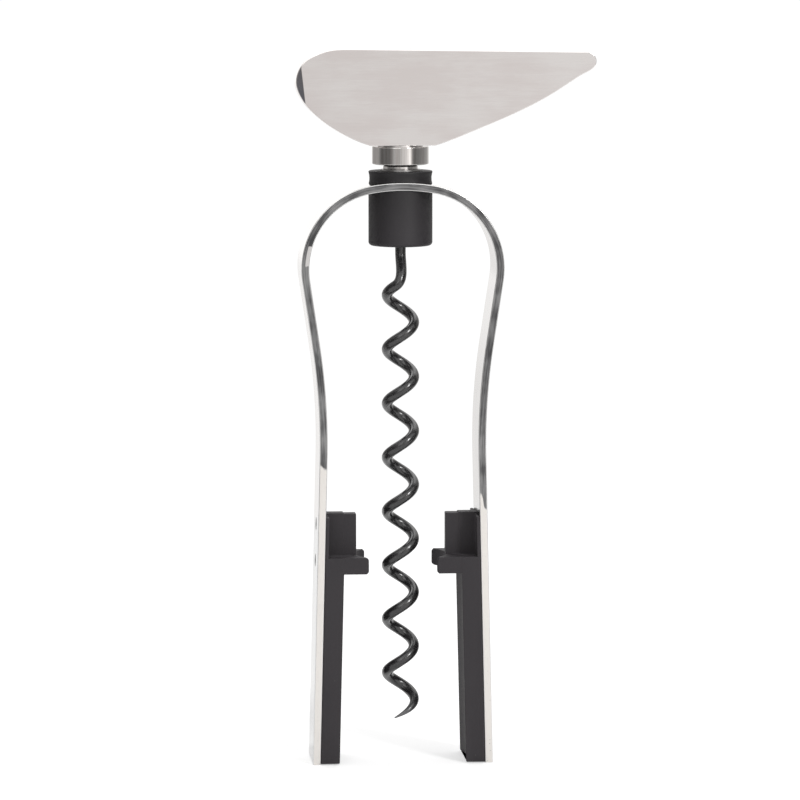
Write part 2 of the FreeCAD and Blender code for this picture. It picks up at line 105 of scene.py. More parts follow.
# Handle
HANDLE_THICKNESS = 14.0
HANDLE_EDGE_ROUND = 0.2
HANDLE_SEAT_WIDTH = 17.6
HANDLE_SEAT_LEVEL = 167.88
WING_REACH = 52.3
NOSE_REACH = 28.5
HANDLE_HEIGHT = 25.8
WING_DROP = 0.9
WING_TIP_RADIUS = 2.4
WING_TIP_ARC_ANGLE = 130.0
NOSE_HEIGHT = 17.6
NOSE_FACET_START = 26.85
NOSE_FACET_LEAN = 0.113
NOSE_FACET_ANGLE = 47.0
HANDLE_BOSS_DIAMETER = 12.4
HANDLE_BOSS_HEIGHT = 0.45
HANDLE_BORE_DEPTH = 14.6

# Hub, collar and screws
HUB_DIAMETER = 17.3
HUB_TOP_HEIGHT = 2.8
HUB_BODY_HEIGHT = 15.3
HUB_WAIST_DEPTH = 0.25
HUB_WAIST_DROP = 0.9
HUB_CORNER_ROUND = 1.0
HUB_RIM_ROUND = 0.3
# Heights over which painted shade darkens the hub towards its top.
HUB_SHADE = (143, 160)
HUB_POCKET_DIAMETER = 12.8
HUB_POCKET_DEPTH = 8.0
BUSH_DIAMETER = 8.1
SPINDLE_DIAMETER = 6.0
COLLAR_BORE = 8.04
STREAK_TONE = (0.46, 0.42, 0.40)
SEAT_GAP = 0.02
SCREW_HEIGHTS = (55.0, 65.0)
SCREW_HEAD_DIAMETER = 3.5
SCREW_SHANK_DIAMETER = 2.2
SCREW_LENGTH = 8.5
SCREW_SOCKET_ACROSS = 1.3
SCREW_SOCKET_DEPTH = 0.7
SCREW_HOLE_GAP = 0.15
SCREW_LIP = 0.12
SCREW_END_CHAMFER = 0.3

# Jaws
LINER_THICKNESS = 5.2
LINER_HOLLOW_DEPTH = 1.0
LINER_FOOT_GAP = 0.3
LIP_UNDERSIDE_HEIGHT = 52.1
LIP_TOP_HEIGHT = 56.6
CORK_PASSAGE_DIAMETER = 24.8
PLATE_THICKNESS = 0.9
PLATE_TOP_HEIGHT = 67.6
RIB_THICKNESS = 4.0
RIB_REACH = 12.2
RIB_TOP_HEIGHT = 68.0
RIB_STEP = 0.25
RIB_STEP_LENGTH = 3.4
RIB_WITNESS = 0.07
LIP_WITNESS = 0.05
JAW_BACK_GAP = 0.05
JAW_EDGE_ROUND = 0.22
FINGER_TIP_ROUND = 0.5
FINGER_ROUND = 0.85
FOOT_ROUND = 0.25
MERGE = 0.5

# Camera and light
CAMERA_AZIMUTH = -4.8
CAMERA_ELEVATION = 6.35
CAMERA_DISTANCE = 1306.5
CAMERA_AIM = (-0.12, 0.0, 98.5)
CAMERA_LENS = 216.75
FLOOR_RADIUS = 500.0
FLOOR_GLOW = 0.42
FLOOR_GLOW_IN_METAL = 0.18
EVEN_LIGHT = 0.55
STUDIO_BRIGHTEST = 1.6
STUDIO_WARM = (1.0, 0.985, 0.975)
STUDIO_UPPER = 1.2
STUDIO_CEILING = 0.82
BACKGROUND_WHITE = 1.03
STUDIO_LOW_BACK = 0.84
STUDIO_FLAG = (0.100, 0.107, 0.136)
STUDIO_FLAG_AZIMUTH = -89.0
STUDIO_FLAG_HALF_WIDTH = 9.0
STUDIO_WALLS = [(-180, 1.12), (-168, 1.12), (-156, 0.50), (-142, 0.40), (-108, 0.44), (-98, 0.25),
                (-90, 0.15), (-50, 0.16), (-34, 0.38), (-20, 0.60), (-8, 0.50), (5, 0.77),
                (20, 0.88), (27, 1.20), (36, 1.40), (40, 1.00), (44, 0.42), (50, 0.18), (74, 0.19),
                (94, 0.28), (124, 0.36), (140, 0.55), (150, 0.90), (160, 1.12), (180, 1.12)]
LAMPS = [("key", 34, 30, 1.3, 0.24, 0.46, 6.5), ("fill", -20, 24, 1.6, 0.8, 0.8, 2.5),
         ("top", 180, 62, 1.4, 1.3, 1.3, 5.5)]


def metres(*values):
    """A point given in millimetres, in metres."""
    return Vector(values) * MM


def new_piece(name, bm):
    """An object in the scene from a finished bmesh."""
    mesh = bpy.data.meshes.new(name)
    bmesh.ops.recalc_face_normals(bm, faces=bm.faces)
    bm.to_mesh(mesh)
    bm.free()
    piece = bpy.data.objects.new(name, mesh)
    bpy.context.scene.collection.objects.link(piece)
    return piece


def apply_modifiers(piece):
    """Makes the piece's modifiers part of its mesh."""
    graph = bpy.context.evaluated_depsgraph_get()
    mesh = bpy.data.meshes.new_from_object(piece.evaluated_get(graph))
    piece.modifiers.clear()
    old = piece.data
    piece.data = mesh
    bpy.data.meshes.remove(old)


def smooth_below(piece, degrees):
    """Smooth shading led by the large faces, with a crease at every sharper edge."""
    bm = bmesh.new()
    bm.from_mesh(piece.data)
    for face in bm.faces:
        face.smooth = True
    for edge in bm.edges:
        edge.smooth = edge.calc_face_angle(0.0) < math.radians(degrees)
    bm.to_mesh(piece.data)
    bm.free()
    step = piece.modifiers.new("even normals", "WEIGHTED_NORMAL")
    step.weight = 90
    step.keep_sharp = True
    apply_modifiers(piece)


def combine(piece, operation, tools):
    """Adds the tools' space to the piece or takes it out, and deletes the tools."""
    for tool in tools:
        step = piece.modifiers.new("combine", "BOOLEAN")
        step.operation = operation
        step.solver = "EXACT"
        step.object = tool
    apply_modifiers(piece)
    for tool in tools:
        bpy.data.objects.remove(tool)


def cut(piece, *tools):
    """Takes the tools' space out of the piece."""
    combine(piece, "DIFFERENCE", tools)


def unite(piece, other):
    """Adds the other's space to the piece."""
    combine(piece, "UNION", [other])


def soften(piece, width, segments, degrees):
    """Rounds every edge that turns by more than an angle."""
    step = piece.modifiers.new("soft edges", "BEVEL")
    step.width = width * MM
    step.segments = segments
    step.limit_method = "ANGLE"
    step.angle_limit = math.radians(degrees)
    step.use_clamp_overlap = False
    step.miter_outer = "MITER_ARC"
    step.harden_normals = True
    for face in piece.data.polygons:
        face.use_smooth = True
    apply_modifiers(piece)


def skin(bm, rings, closed_ends):
    """Joins rings of vertices into a tube, with flat ends if asked."""
    faces = []
    for ring, after in zip(rings, rings[1:]):
        for i in range(len(ring)):
            j = (i + 1) % len(ring)
            faces.append(bm.faces.new((ring[i], ring[j], after[j], after[i])))
    if closed_ends:
        bm.faces.new(rings[0])
        bm.faces.new(list(reversed(rings[-1])))
    return faces


def lathe(name, profile, sides=96):
    """A solid of revolution about the worm's axis, from a closed outline of (radius, height)."""
    bm = bmesh.new()
    rings = []
    for side in range(sides):
        turn = 2 * math.pi * side / sides
        rings.append([bm.verts.new(metres(r * math.cos(turn), r * math.sin(turn), z))
                      for r, z in profile])
    skin(bm, rings + [rings[0]], closed_ends=False)
    bmesh.ops.remove_doubles(bm, verts=bm.verts, dist=1e-7)
    return new_piece(name, bm)


def round_bar(name, radius, low, high, sides):
    """A plain round bar about the worm's axis, between two heights."""
    return lathe(name, [(0, low), (radius, low), (radius, high), (0, high)], sides)


def round_corner(centre_r, centre_z, radius, start, end, steps=5):
    """Points of a rounding in a lathe outline, by its centre and its two angles from +r."""
    points = []
    for step in range(steps + 1):
        turn = math.radians(start + (end - start) * step / steps)
        points.append((centre_r + radius * math.cos(turn), centre_z + radius * math.sin(turn)))
    return points


def inset_outline(outline, insets):
    """The outline, anticlockwise, with each point moved in by its own distance."""
    moved = []
    points = [Vector(point) for point in outline]
    for before, here, after, inset in zip(points[-1:] + points, points, points[1:] + points[:1], insets):
        come, leave = (here - before).normalized(), (after - here).normalized()
        shift = Vector((-come.y - leave.y, come.x + leave.x)) / (1 + come.dot(leave))
        moved.append(tuple(here + shift * inset))
    return moved


def prism(name, outline, depth):
    """An outline in the XZ plane drawn out evenly to both sides of it, in mm."""
    bm = bmesh.new()
    rings = [[bm.verts.new(metres(x, y, z)) for x, z in outline] for y in (-depth / 2, depth / 2)]
    skin(bm, rings, closed_ends=True)
    return new_piece(name, bm)


def regular(sides, radius):
    """The corners of a regular outline about the origin."""
    return [(radius * math.cos(2 * math.pi * side / sides), radius * math.sin(2 * math.pi * side / sides))
            for side in range(sides)]


def eased(start, end, pull_start, pull_end, s):
    """A point at share s of the cubic between two points, by its pulls at the ends."""
    return (start * (2 * s**3 - 3 * s**2 + 1) + pull_start * (s**3 - 2 * s**2 + s)
            + end * (3 * s**2 - 2 * s**3) + pull_end * (s**3 - s**2))


def join(name, pieces):
    """Several separate pieces as one object."""
    bm = bmesh.new()
    for piece in pieces:
        bm.from_mesh(piece.data)
        bpy.data.objects.remove(piece)
    return new_piece(name, bm)


# Shader helpers

def plug(tree, entry, value):
    """Sets an input to a value, or joins it to another node's output."""
    if isinstance(value, bpy.types.NodeSocket):
        tree.links.new(value, entry)
    else:
        entry.default_value = value


def feed(tree, node, **values):
    """Plugs values into a node's inputs, named with _ for each space."""
    for key, value in values.items():
        plug(tree, node.inputs[key.replace("_", " ")], value)


def add(tree, kind, **values):
    """A node of a kind. A name that is an input feeds that input, and any other is an attribute."""
    made = tree.nodes.new(kind)
    for key, value in values.items():
        if key.replace("_", " ") in made.inputs and not hasattr(made, key):
            feed(tree, made, **{key: value})
        else:
            setattr(made, key, value)
    return made


def axes(tree, vector):
    """A vector's X, Y and Z outputs."""
    return add(tree, "ShaderNodeSeparateXYZ", Vector=vector).outputs


def maths(tree, operation, first, second=0.5):
    """A Math node on two values, each a number or a socket."""
    made = tree.nodes.new("ShaderNodeMath")
    made.operation = operation
    plug(tree, made.inputs[0], first)
    plug(tree, made.inputs[1], second)
    return made.outputs[0]


def times(tree, first, second):
    """The product of two values."""
    return maths(tree, "MULTIPLY", first, second)


def remap(tree, value, low, high, new_low=0.0, new_high=1.0):
    """A value between two limits moved smoothly to lie between two others."""
    made = add(tree, "ShaderNodeMapRange", interpolation_type="SMOOTHSTEP")
    feed(tree, made, Value=value, From_Min=low, From_Max=high, To_Min=new_low, To_Max=new_high)
    return made.outputs["Result"]


def band(tree, length, low, high, *levels):
    """Remaps a length in metres between two limits in mm."""
    return remap(tree, length, low * MM, high * MM, *levels)


def mix_colours(tree, share, first, second):
    """A colour between two, each a colour or a socket."""
    made = add(tree, "ShaderNodeMix", data_type="RGBA")
    plug(tree, made.inputs["Factor"], share)
    for name, value in (("A", first), ("B", second)):
        socket = [s for s in made.inputs if s.name == name and s.type == "RGBA"][0]
        plug(tree, socket, (*value, 1.0) if isinstance(value, tuple) else value)
    return [s for s in made.outputs if s.type == "RGBA"][0]


def new_group(name, inputs, outputs):
    """An empty shader group with named sockets: inputs are (name, kind, start value)."""
    group = bpy.data.node_groups.new(name, "ShaderNodeTree")
    for label, kind, start in inputs:
        socket = group.interface.new_socket(label, in_out="INPUT", socket_type="NodeSocket" + kind)
        if start is not None:
            socket.default_value = start
    for label, kind in outputs:
        group.interface.new_socket(label, in_out="OUTPUT", socket_type="NodeSocket" + kind)
    return group, group.nodes.new("NodeGroupInput"), group.nodes.new("NodeGroupOutput")


def noise_of(group, given, vector, size, **values):
    """Noise in a group, at a size that one of the group's inputs gives in mm."""
    scale = maths(group, "DIVIDE", 1 / MM, given.outputs[size])
    return add(group, "ShaderNodeTexNoise", Vector=vector, Scale=scale, **values).outputs["Fac"]


def grain_group():
    """Fine even grain, as of moulded plastic or a sprayed coat."""
    group, given, out = new_group(
        "fine grain",
        [("Vector", "Vector", None), ("Size mm", "Float", 0.5), ("Roughness", "Float", 0.6)],
        [("Value", "Float")])
    grain = noise_of(group, given, given.outputs["Vector"], "Size mm", Detail=3.0,
                     Roughness=given.outputs["Roughness"])
    feed(group, out, Value=grain)
    return group


def lines_group():
    """Long fine lines in one direction, as brushing and grinding leave them."""
    group, given, out = new_group(
        "brushed lines",
        [("Vector", "Vector", None), ("Line width mm", "Float", 0.1), ("Length share", "Float", 0.01)],
        [("Value", "Float")])
    split = axes(group, given.outputs["Vector"])
    along = times(group, split["X"], given.outputs["Length share"])
    joined = add(group, "ShaderNodeCombineXYZ", X=along, Y=split["Y"], Z=split["Z"])
    feed(group, out, Value=noise_of(group, given, joined.outputs[0], "Line width mm",
                                    Detail=4.0, Roughness=0.7))
    return group


def specks_group():
    """Scattered small specks, such as dust and tiny nicks, as a mask."""
    group, given, out = new_group(
        "specks",
        [("Vector", "Vector", None), ("Spacing mm", "Float", 3.0), ("Size share", "Float", 0.06)],
        [("Mask", "Float")])
    scale = maths(group, "DIVIDE", 1 / MM, given.outputs["Spacing mm"])
    cells = add(group, "ShaderNodeTexVoronoi", feature="F1", Vector=given.outputs["Vector"], Scale=scale)
    split = add(group, "ShaderNodeSeparateColor", Color=cells.outputs["Color"])
    few = maths(group, "GREATER_THAN", split.outputs["Red"], 0.6)
    near = maths(group, "LESS_THAN", cells.outputs["Distance"], given.outputs["Size share"])
    feed(group, out, Mask=times(group, few, near))
    return group


def clouds_group():
    """Broad soft patches, as handling and polishing leave on bright metal."""
    group, given, out = new_group(
        "soft patches",
        [("Vector", "Vector", None), ("Size mm", "Float", 20.0)],
        [("Value", "Float")])
    clouds = noise_of(group, given, given.outputs["Vector"], "Size mm", Detail=2.0, Roughness=0.45)
    feed(group, out, Value=clouds)
    return group


GROUPS = {}


def effect(tree, name, vector, **values):
    """One of the shared effects in a material, with its own values. Gives its output socket."""
    made = add(tree, "ShaderNodeGroup", node_tree=GROUPS[name])
    feed(tree, made, Vector=vector, **values)
    return made.outputs[0]


def new_finish(name):
    """A material with its Principled shader. Gives the material, its tree and the shader."""
    material = bpy.data.materials.new(name)
    material.use_nodes = True
    tree = material.node_tree
    return material, tree, tree.nodes["Principled BSDF"]


def bump(tree, shader, height, distance_mm, strength):
    """Sends a height through a Bump node to the shader."""
    made = add(tree, "ShaderNodeBump", Strength=strength, Distance=distance_mm * MM, Height=height)
    feed(tree, shader, Normal=made.outputs["Normal"])


def sight(tree):
    """Whether a ray comes straight from the camera, and whether it was mirrored, each as 0 or 1."""
    path = tree.nodes.new("ShaderNodeLightPath").outputs
    direct = maths(tree, "MAXIMUM", path["Is Camera Ray"], path["Is Transmission Ray"])
    return direct, path["Is Glossy Ray"]


def place(tree):
    """Position on the part, in metres."""
    return tree.nodes.new("ShaderNodeTexCoord").outputs["Object"]


def unrolled(tree, name):
    """Position along and round a swept piece, in metres."""
    return add(tree, "ShaderNodeUVMap", uv_map=name).outputs[0]


def polished_steel():
    """The handle: bright polish over faint long brushing, with broad bands and soft patches."""
    material, tree, shader = new_finish("polished_steel")
    where = place(tree)
    patches = effect(tree, "soft patches", where, Size_mm=14.0)
    bands = effect(tree, "brushed lines", where, Line_width_mm=3.5, Length_share=0.16)
    lines = effect(tree, "brushed lines", where, Line_width_mm=0.22, Length_share=0.012)
    cloud = remap(tree, maths(tree, "ADD", patches, bands), 0.75, 1.25)
    clouded = mix_colours(tree, cloud, (0.815, 0.765, 0.750), (0.880, 0.850, 0.835))
    brushed = times(tree, remap(tree, lines, 0.35, 0.65), 0.12)
    colour = mix_colours(tree, brushed, clouded, (0.70, 0.67, 0.66))
    feed(tree, shader, Base_Color=colour, Metallic=1.0,
         Roughness=remap(tree, patches, 0.3, 0.7, 0.07, 0.13))
    bump(tree, shader, lines, 0.003, 0.20)
    return material


def turned_steel(name, tone, roughness, streaky=0.0):
    """Lathe-turned steel, with fine rings about the axis and, if asked, darker streaks along it."""
    material, tree, shader = new_finish(name)
    where = place(tree)
    split = axes(tree, where)
    rings = add(tree, "ShaderNodeTexNoise", noise_dimensions="1D", Detail=4.0, Scale=9000.0)
    feed(tree, rings, W=split["Z"])
    rings = rings.outputs["Fac"]
    patches = effect(tree, "soft patches", where, Size_mm=3.0)
    darker = tuple(value * 0.86 for value in tone)
    upright = add(tree, "ShaderNodeCombineXYZ", X=split["Z"], Y=split["X"], Z=split["Y"])
    streaks = effect(tree, "brushed lines", upright.outputs[0], Line_width_mm=0.9, Length_share=0.02)
    marked = times(tree, remap(tree, streaks, 0.42, 0.62), streaky)
    body = mix_colours(tree, patches, darker, tone)
    feed(tree, shader, Base_Color=mix_colours(tree, marked, body, STREAK_TONE), Metallic=1.0,
         Roughness=remap(tree, rings, 0.3, 0.7, roughness * 0.8, roughness * 1.25))
    bump(tree, shader, rings, 0.004, 0.3)
    return material


def strip_steel():
    """The bent strip: bright faces with painted shade on the inner face, a dark satin edge on the arch with
    a painted highlight low on the left shoulder, and bright ground leg edges.
    """
    material, tree, shader = new_finish("strip_steel")
    where = place(tree)
    along = unrolled(tree, "unrolled")
    around = axes(tree, along)["Y"]
    split = axes(tree, where)
    depth = maths(tree, "ABSOLUTE", split["Y"])
    side = STRIP_WIDTH / 2
    edge = band(tree, depth, side - EDGE_BLEND[0], side - EDGE_BLEND[1])
    ragged = effect(tree, "fine grain", where, Size_mm=1.6)
    line = maths(tree, "ADD", split["Z"], times(tree, ragged, SATIN_WOBBLE * MM))
    aside = maths(tree, "ABSOLUTE", split["X"])
    left_top = band(tree, aside, *LEG_FACES, *(level * MM for level in GROUND_TOP_LEFT))
    inward = maths(tree, "POWER", band(tree, aside, *reversed(LEG_FACES)), GROUND_TOP_CURVE)
    right_top = remap(tree, inward, 0.0, 1.0, *(level * MM for level in reversed(GROUND_TOP_RIGHT)))
    on_right = maths(tree, "GREATER_THAN", split["X"], 0.0)
    lower = times(tree, on_right, maths(tree, "SUBTRACT", left_top, right_top))
    above = maths(tree, "SUBTRACT", line, maths(tree, "SUBTRACT", left_top, lower))
    satin = times(tree, edge, band(tree, above, *SATIN_FADE))
    ground = maths(tree, "SUBTRACT", edge, satin)
    lines = effect(tree, "brushed lines", along, Line_width_mm=0.16, Length_share=0.02)
    streaks = effect(tree, "brushed lines", along, Line_width_mm=0.45, Length_share=0.05)
    patches = effect(tree, "soft patches", where, Size_mm=7.0)
    shine = maths(tree, "ADD", streaks, times(tree, patches, 0.8))
    dark = mix_colours(tree, remap(tree, shine, 0.65, 1.15), (0.080, 0.080, 0.083), (0.33, 0.33, 0.332))
    face = mix_colours(tree, patches, (0.78, 0.775, 0.765), (0.88, 0.875, 0.865))
    # Painted shade: the strip's inner face gets a darker copy of the face colour.
    inner = times(tree, band(tree, around, *INNER_FACE_START), band(tree, around, *INNER_FACE_END))
    inside = mix_colours(tree, patches, (0.58, 0.575, 0.565), (0.67, 0.665, 0.655))
    face = mix_colours(tree, inner, face, inside)
    colour = mix_colours(tree, satin, face, dark)
    # Painted highlight: a pale spot on the left leg's front edge and inner corner, low on the shoulder.
    bottom, top = PAINTED_HIGHLIGHT_HEIGHTS
    spot = times(tree, band(tree, line, bottom, bottom + PAINTED_HIGHLIGHT_FADE),
                 band(tree, line, top, top - PAINTED_HIGHLIGHT_FADE))
    for limits in PAINTED_HIGHLIGHT_ACROSS:
        spot = times(tree, spot, band(tree, around, *limits))
    spot = times(tree, spot, maths(tree, "LESS_THAN", split["X"], 0.0))
    colour = mix_colours(tree, times(tree, spot, 0.85), colour, (0.80, 0.78, 0.77))
    pits = effect(tree, "specks", where, Spacing_mm=0.7, Size_share=0.22)
    low = times(tree, band(tree, split["Z"], *PITTED_HEIGHTS), on_right)
    pitted = times(tree, pits, remap(tree, low, 0.0, 1.0, 0.12, 0.50))
    worn = mix_colours(tree, pitted, (0.83, 0.80, 0.765), (0.42, 0.41, 0.40))
    corner = band(tree, depth, side - STRIP_CORNER_ROUND, side - 0.8 * STRIP_CORNER_ROUND)
    rim = maths(tree, "SUBTRACT", corner, edge)
    rough = times(tree, lines, 0.10)
    for mask, amount in ((satin, 0.20), (ground, 0.30), (rim, 0.24)):
        rough = maths(tree, "ADD", rough, times(tree, mask, amount))
    feed(tree, shader, Base_Color=mix_colours(tree, ground, colour, worn), Metallic=1.0,
         Roughness=maths(tree, "ADD", rough, 0.08))
    bump(tree, shader, lines, 0.006, 0.35)
    return material


def black_plastic(name, tone, roughness, shine, painted_shade_top=None):
    """Moulded black plastic with a fine even texture, a few specks of dust and, if asked, painted shade
    darkening its top.
    """
    material, tree, shader = new_finish(name)
    where = place(tree)
    grain = effect(tree, "fine grain", where, Size_mm=0.35)
    patches = effect(tree, "soft patches", where, Size_mm=12.0)
    specks = effect(tree, "specks", where, Spacing_mm=2.6, Size_share=0.035)
    lighter = tuple(value * 1.22 for value in tone)
    body = mix_colours(tree, patches, tone, lighter)
    if painted_shade_top:
        # Painted shade: the tone darkens towards the top, between the heights in HUB_SHADE.
        body = mix_colours(tree, band(tree, axes(tree, where)["Z"], *HUB_SHADE), body, painted_shade_top)
    colour = mix_colours(tree, times(tree, specks, 0.5), body, (0.20, 0.19, 0.18))
    feed(tree, shader, Base_Color=colour, Specular_IOR_Level=shine,
         Roughness=remap(tree, grain, 0.3, 0.7, roughness - 0.06, roughness + 0.08))
    bump(tree, shader, grain, 0.02, 0.22)
    return material


def worm_coating():
    """The worm's black coat: semi-gloss, finely grained, thin and paler at the cut point."""
    material, tree, shader = new_finish("worm_coating")
    where = place(tree)
    grain = effect(tree, "fine grain", where, Size_mm=0.30, Roughness=0.7)
    specks = effect(tree, "specks", where, Spacing_mm=0.55, Size_share=0.16)
    point = band(tree, axes(tree, where)["Z"], WORM_TIP_HEIGHT + 4.5, WORM_TIP_HEIGHT - 0.5)
    coat = mix_colours(tree, remap(tree, grain, 0.35, 0.65), (0.004, 0.004, 0.005), (0.030, 0.029, 0.030))
    speckled = mix_colours(tree, times(tree, specks, 0.35), coat, (0.22, 0.21, 0.21))
    colour = mix_colours(tree, times(tree, point, 0.75), speckled, (0.17, 0.17, 0.175))
    feed(tree, shader, Base_Color=colour, Roughness=remap(tree, grain, 0.3, 0.7, 0.16, 0.34),
         Coat_Weight=0.7, Coat_Roughness=0.14)
    bump(tree, shader, grain, 0.03, 0.40)
    return material


def dark_screw():
    """Blackened screw steel."""
    material, tree, shader = new_finish("screw_black")
    where = place(tree)
    grain = effect(tree, "fine grain", where, Size_mm=0.4)
    colour = mix_colours(tree, grain, (0.020, 0.020, 0.022), (0.060, 0.058, 0.058))
    feed(tree, shader, Base_Color=colour, Metallic=0.8,
         Roughness=remap(tree, grain, 0.3, 0.7, 0.30, 0.45))
    bump(tree, shader, grain, 0.01, 0.2)
    return material


def make_finishes():
    """Every material of the object, by its slot or sub-part."""
    GROUPS.update({"fine grain": grain_group(), "brushed lines": lines_group(),
                   "specks": specks_group(), "soft patches": clouds_group()})
    return {
        "handle": polished_steel(),
        "strip": strip_steel(),
        "bright": turned_steel("bright_turned_steel", (0.80, 0.78, 0.76), 0.09, 0.55),
        "machined": turned_steel("machined_steel", (0.60, 0.59, 0.58), 0.30),
        # The spindle's dark tone is partly grease and partly painted shade of the gap under the collar.
        "spindle": turned_steel("grease_and_painted_shade_steel", (0.035, 0.034, 0.036), 0.40),
        "jaw": black_plastic("jaw_plastic", (0.0320, 0.0285, 0.0315), 0.60, 0.30),
        # The hub's darker top tone is painted shade under the strip, the collar and the handle.
        "hub": black_plastic("hub_plastic", (0.0205, 0.0178, 0.0205), 0.52, 0.45,
                             painted_shade_top=(0.0090, 0.0078, 0.0090)),
        "worm": worm_coating(),
        "screw": dark_screw(),
    }


# Spring strip

def strip_path(step=1.0):
    """The right half's outer face from the crown to the floor: points and headings, in mm."""
    lean = math.radians(90 + LEAN_IN_ANGLE)
    flare = math.radians(90 - LEG_FLARE_ANGLE)
    crown = math.radians(CROWN_HALF_ANGLE)
    stretches = [
        (CROWN_RADIUS * crown, 1 / CROWN_RADIUS),
        (SHOULDER_RADIUS * (lean - crown), 1 / SHOULDER_RADIUS),
        (LEAN_IN_RUN, 0.0),
        (WAIST_RADIUS * (lean - flare), -1 / WAIST_RADIUS),
    ]
    x, z, heading = 0.0, FRAME_HEIGHT, 0.0
    path = [(x, z, heading)]
    for length, curve in stretches:
        count = math.ceil(length / step)
        for _ in range(count):
            turn = curve * length / count
            middle = heading + turn / 2
            chord = length / count if curve == 0 else 2 / abs(curve) * math.sin(abs(turn) / 2)
            x += chord * math.cos(middle)
            z -= chord * math.sin(middle)
            heading += turn
            path.append((x, z, heading))
    count = math.ceil(z / step)
    drop = z / math.sin(heading) / count
    for _ in range(count):
        x += drop * math.cos(heading)
        z -= drop * math.sin(heading)
        path.append((x, z, heading))
    return path


def strip_section(inset):
    """The strip's rounded section as (depth into the strip, place across its width), in mm."""
    radius = STRIP_CORNER_ROUND - inset
    near, far = inset + radius, STRIP_THICKNESS - inset - radius
    side = STRIP_WIDTH / 2 - inset - radius
    points = []
    corners = [(near, side, 90), (near, -side, 180), (far, -side, 270), (far, side, 0)]
    for centre_depth, centre_across, start in corners:
        points += round_corner(centre_depth, centre_across, radius, start, start + 90)
    return points


def strip_half(name, way):
    """One half of the strip, from the middle of the crown to its foot. way is 1 or -1 along X."""
    bm = bmesh.new()
    uv = bm.loops.layers.uv.new("unrolled")
    path = strip_path()
    rings = []
    lengths = []
    length = 0.0
    for i, (x, z, heading) in enumerate(path):
        if i:
            length += math.dist((x, z), path[i - 1][:2])
        if z < 1e-6:
            break
        rings.append(strip_ring(bm, x, z, heading, way, 0.0))
        lengths.append(length)
    x, z, heading = path[-1]
    for step in range(5):
        turn = math.radians(90 * step / 4)
        rise = STRIP_FOOT_ROUND * (1 - math.sin(turn))
        inset = STRIP_FOOT_ROUND * (1 - math.cos(turn))
        ring = strip_ring(bm, x, z, heading, way, inset)
        for vertex in ring:
            lift = rise * MM - vertex.co.z
            vertex.co.z += lift
            vertex.co.x -= way * lift * math.cos(heading) / math.sin(heading)
        rings.append(ring)
        lengths.append(length - rise)
    around = [0.0]
    for a, b in zip(rings[0], rings[0][1:] + rings[0][:1]):
        around.append(around[-1] + (a.co - b.co).length)
    faces = skin(bm, rings, closed_ends=True)
    sides = len(rings[0])
    for n, face in enumerate(faces):
        row, i = divmod(n, sides)
        for loop, (r, c) in zip(face.loops, ((row, i), (row, i + 1), (row + 1, i + 1), (row + 1, i))):
            loop[uv].uv = (lengths[r] * MM, around[c])
    return new_piece(name, bm)


def strip_ring(bm, x, z, heading, way, inset):
    """The vertices of one section of the strip at a point of its path."""
    inward = (-math.sin(heading), -math.cos(heading))
    return [bm.verts.new(metres(way * (x + inward[0] * depth), across, z + inward[1] * depth))
            for depth, across in strip_section(inset)]


def strip_block(name, inset, above):
    """All the room above or below the strip's face at that inset near the crown, as a tool."""
    reach = 14.0
    face = []
    for x, z, heading in strip_path():
        x, z = x - math.sin(heading) * inset, z - math.cos(heading) * inset
        if x < reach:
            face.append((x, z))
    outline = [(-x, z) for x, z in reversed(face[1:])] + face
    far = FRAME_HEIGHT + (20.0 if above else -30.0)
    outline += [(face[-1][0], far), (-face[-1][0], far)]
    return prism(name, outline, 2 * STRIP_WIDTH)


def leg_position(depth, height):
    """How far from the worm's axis a line at a depth into the leg is at a height, in mm."""
    foot = strip_path()[-1][0]
    return foot - depth - height * math.tan(math.radians(LEG_FLARE_ANGLE))


def along_leg_axis(piece, way, height):
    """Puts a piece made about the Z axis on a jaw screw's axis, its top at the leg's outer face."""
    face = metres(way * leg_position(0, height), 0, height)
    lean = math.radians(LEG_FLARE_ANGLE)
    outward = Vector((way * math.cos(lean), 0, math.sin(lean)))
    turn = outward.to_track_quat("Z", "Y").to_matrix().to_4x4()
    piece.data.transform(Matrix.Translation(face) @ turn)
    return piece


def screw_room(way, height):
    """The countersunk hole that a jaw screw takes in the strip."""
    head = SCREW_HEAD_DIAMETER / 2 + SCREW_HOLE_GAP
    shank = SCREW_SHANK_DIAMETER / 2 + SCREW_HOLE_GAP
    deep = STRIP_THICKNESS + 1
    profile = [(0, -deep), (shank, -deep), (shank, shank - head), (head, 0), (head, 1), (0, 1)]
    return along_leg_axis(lathe("screw room", profile, 48), way, height)


def jaw_screw(way, height):
    """A countersunk screw with a small hexagon socket."""
    head, shank = SCREW_HEAD_DIAMETER / 2, SCREW_SHANK_DIAMETER / 2
    lip, end = SCREW_LIP, SCREW_END_CHAMFER
    profile = [(0, -SCREW_LENGTH), (shank - end, -SCREW_LENGTH), (shank, -SCREW_LENGTH + end),
               (shank, shank - head), (head, -lip), (head - lip, 0), (0, 0)]
    screw = lathe("screw", profile, 48)
    socket = prism("socket", regular(6, SCREW_SOCKET_ACROSS / math.sqrt(3)), 2 * SCREW_SOCKET_DEPTH)
    socket.data.transform(Matrix.Rotation(math.radians(90), 4, "X"))
    cut(screw, socket)
    smooth_below(screw, 30)
    return along_leg_axis(screw, way, height)


